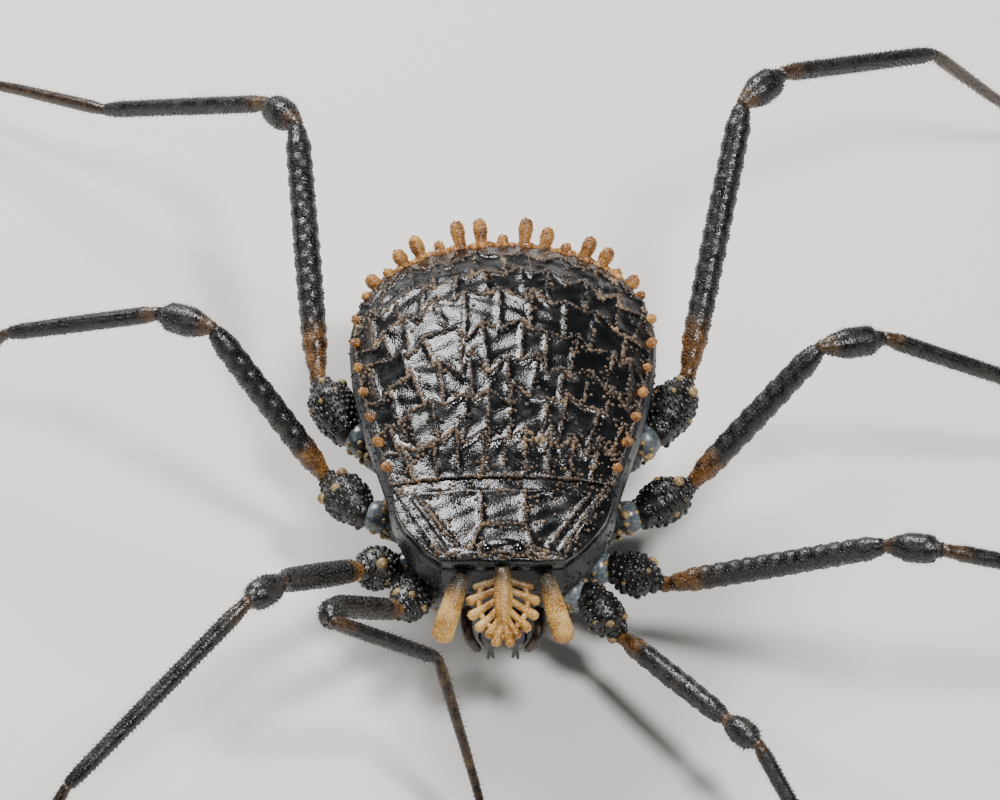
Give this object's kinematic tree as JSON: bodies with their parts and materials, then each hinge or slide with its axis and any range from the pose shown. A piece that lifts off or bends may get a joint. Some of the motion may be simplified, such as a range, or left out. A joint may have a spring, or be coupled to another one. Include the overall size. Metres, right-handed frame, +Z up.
{
  "type": "harvestman",
  "caption": "Life-size still model of a lattice-hooded harvestman: netted black shield, amber hood and horns, crown of pegs, eight legs in a walking stance.",
  "frame": {"origin": "on the floor, under the middle of the whole stance", "axes": "+Z up, head towards -Y, the animal's left side towards +X"},
  "size_m": [0.0128, 0.0108, 0.0026],
  "materials": {
    "shield": "black granular cuticle, glossy between brown tubercles",
    "membrane": "blue-grey leathery cuticle of the side walls, belly and coxae",
    "amber": "golden beaded cuticle",
    "leg": "dark ringed cuticle with fine pale scales",
    "lens": "polished black cornea"
  },
  "bodies": {
    "root": {"abdomen": "shield", "carapace": "shield", "underside": "membrane", "hood": "amber", "horn_l": "amber", "horn_r": "amber", "eye_l": "lens", "eye_r": "lens", "chelicera_l": "shield", "chelicera_r": "shield", "palp_l": "amber", "palp_r": "amber", "leg1_l_trochanter": "leg", "leg1_l_femur": "leg", "leg1_l_patella": "leg", "leg1_l_tibia": "leg", "leg1_l_foot": "leg", "leg1_r_trochanter": "leg", "leg1_r_femur": "leg", "leg1_r_patella": "leg", "leg1_r_tibia": "leg", "leg1_r_foot": "leg", "leg2_l_trochanter": "leg", "leg2_l_femur": "leg", "leg2_l_patella": "leg", "leg2_l_tibia": "leg", "leg2_l_foot": "leg", "leg2_r_trochanter": "leg", "leg2_r_femur": "leg", "leg2_r_patella": "leg", "leg2_r_tibia": "leg", "leg2_r_foot": "leg", "leg3_l_trochanter": "leg", "leg3_l_femur": "leg", "leg3_l_patella": "leg", "leg3_l_tibia": "leg", "leg3_l_foot": "leg", "leg3_r_trochanter": "leg", "leg3_r_femur": "leg", "leg3_r_patella": "leg", "leg3_r_tibia": "leg", "leg3_r_foot": "leg", "leg4_l_trochanter": "leg", "leg4_l_femur": "leg", "leg4_l_patella": "leg", "leg4_l_tibia": "leg", "leg4_l_foot": "leg", "leg4_r_trochanter": "leg", "leg4_r_femur": "leg", "leg4_r_patella": "leg", "leg4_r_tibia": "leg", "leg4_r_foot": "leg"}
  },
  "joints": []
}
